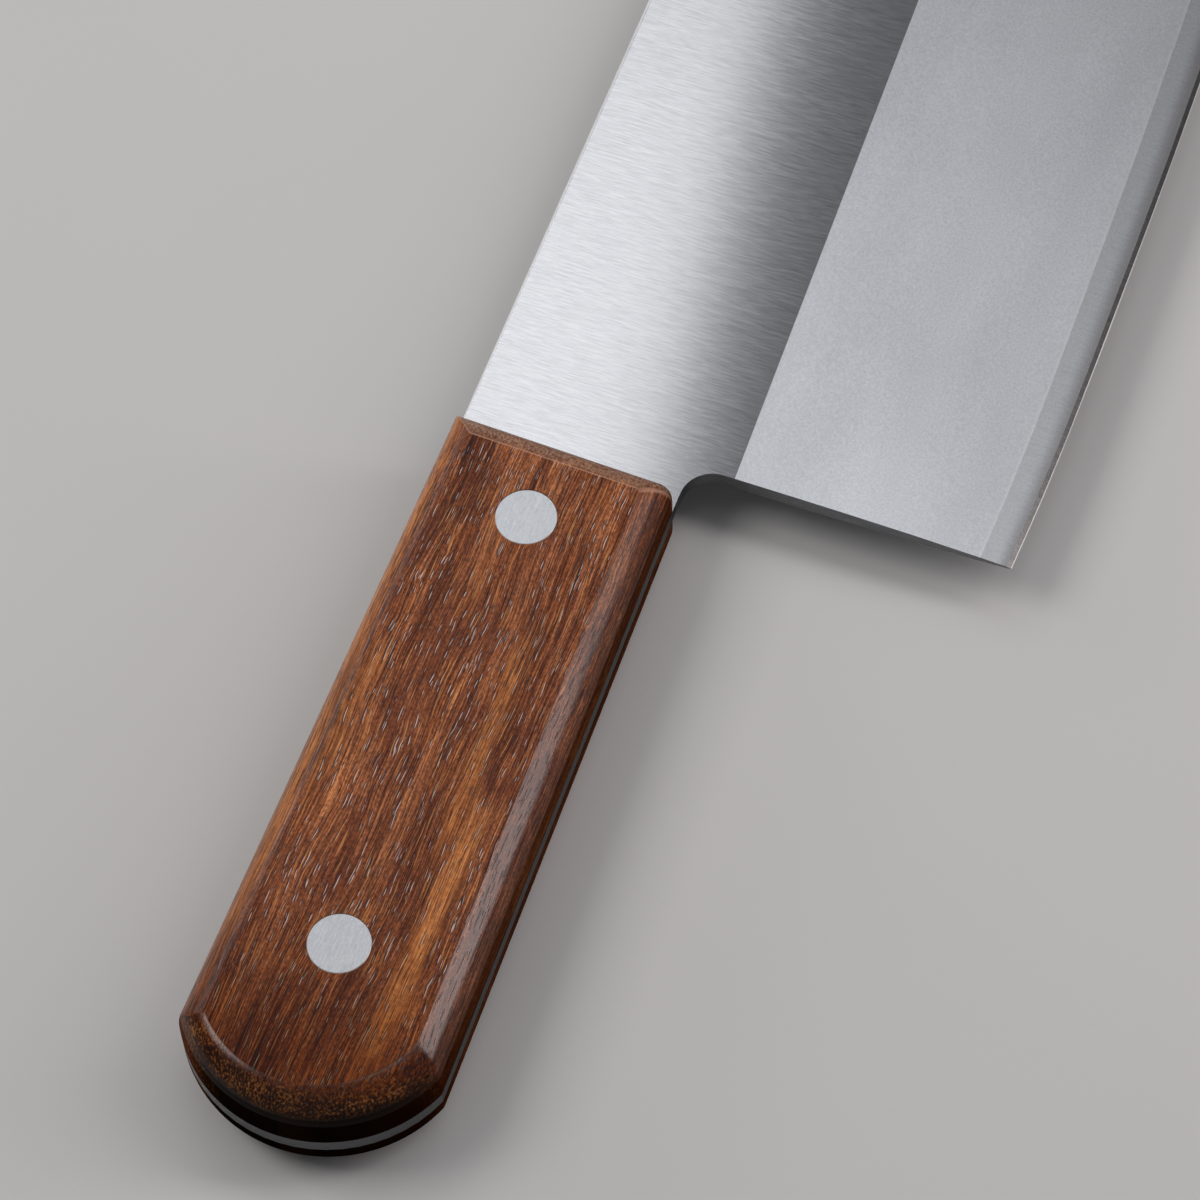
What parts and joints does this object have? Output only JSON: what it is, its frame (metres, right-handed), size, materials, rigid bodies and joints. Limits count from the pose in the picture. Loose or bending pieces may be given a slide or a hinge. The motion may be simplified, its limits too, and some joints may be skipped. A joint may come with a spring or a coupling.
{
  "type": "vegetable cleaver",
  "caption": "Broad rectangular kitchen cleaver with a clad steel blade, full tang, riveted wooden scales and a rounded choil for the knuckles.",
  "frame": {"origin": "centre of the outline seen from the side of the blade, on the outer flat of the left handle scale, which is what the knife lies on", "axes": "+X along the blade from the handle to the tip, +Y from the cutting edge to the spine, +Z out of the blade's right-hand face"},
  "size_m": [0.3298, 0.0903, 0.0192],
  "materials": {
    "core_steel": "hard stainless core: satin ground with a slightly darker, polished cutting bevel, dark satin on the tang edge",
    "clad_steel": "soft stainless cladding: brushed across the blade above the grind line, fine matte on the bevel",
    "handle_wood": "reddish brown close-grained hardwood with dark pore lines, satin",
    "rivet_steel": "flush ground heads, satin"
  },
  "bodies": {
    "root": {"blade_core": "core_steel", "blade_cladding_right": "clad_steel", "blade_cladding_left": "clad_steel", "handle_scale_right": "handle_wood", "handle_scale_left": "handle_wood", "front_rivet_male_half": "rivet_steel", "front_rivet_female_half": "rivet_steel", "rear_rivet_male_half": "rivet_steel", "rear_rivet_female_half": "rivet_steel"}
  },
  "joints": []
}
